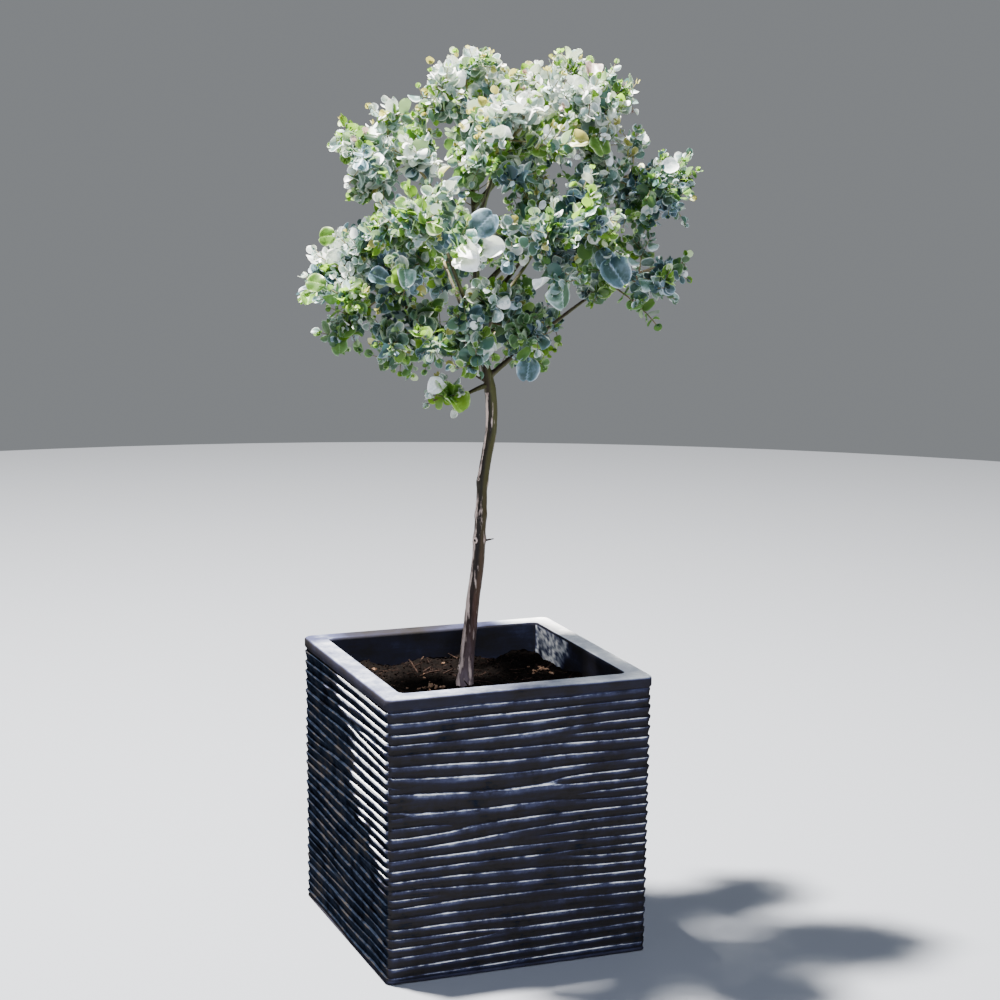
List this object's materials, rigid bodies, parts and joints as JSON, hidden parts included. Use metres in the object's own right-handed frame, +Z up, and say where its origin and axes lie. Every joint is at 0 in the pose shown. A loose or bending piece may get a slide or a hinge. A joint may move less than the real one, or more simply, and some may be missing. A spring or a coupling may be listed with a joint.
{
  "type": "potted standard eucalyptus",
  "caption": "Young eucalyptus grown as a standard: a slim bare trunk with a round open crown of small blue-green leaves, planted in a square ridged clay planter.",
  "frame": {"origin": "centre of the planter's flat underside, on the surface it stands on", "axes": "+Z up; -Y out of the planter's front face, the broad one in the picture; +X along that face to the right. The picture looks from the front and 21.5 degrees to the left"},
  "size_m": [0.3824, 0.3448, 0.8986],
  "materials": {
    "fibre_clay": "matt dark grey-black ridged clay with worn pale crests",
    "compost": "dark brown crumbly compost with pale chips",
    "trunk_bark": "smooth young bark, mauve-grey below and olive green above",
    "green_bark": "thin green and maroon bark",
    "foliage": "waxy blue-green leaves with a pale bloom"
  },
  "bodies": {
    "root": {"bough_back_left": "green_bark", "bough_back_right": "green_bark", "bough_back_top": "green_bark", "bough_front_left": "green_bark", "bough_front_right": "green_bark", "bough_front_top": "green_bark", "bough_left": "green_bark", "bough_low_back": "green_bark", "bough_low_front": "green_bark", "bough_low_left": "green_bark", "bough_low_shoot": "green_bark", "bough_right": "green_bark", "bough_top_right": "green_bark", "bough_upper_left": "green_bark", "bough_upper_right": "green_bark", "compost": "compost", "foliage_back_left": "foliage", "foliage_back_right": "foliage", "foliage_back_top": "foliage", "foliage_front_left": "foliage", "foliage_front_right": "foliage", "foliage_front_top": "foliage", "foliage_left": "foliage", "foliage_low_back": "foliage", "foliage_low_front": "foliage", "foliage_low_left": "foliage", "foliage_low_shoot": "foliage", "foliage_right": "foliage", "foliage_top_left": "foliage", "foliage_top_right": "foliage", "foliage_upper_left": "foliage", "foliage_upper_right": "foliage", "leader": "green_bark", "planter": "fibre_clay", "trunk": "trunk_bark"}
  },
  "joints": []
}
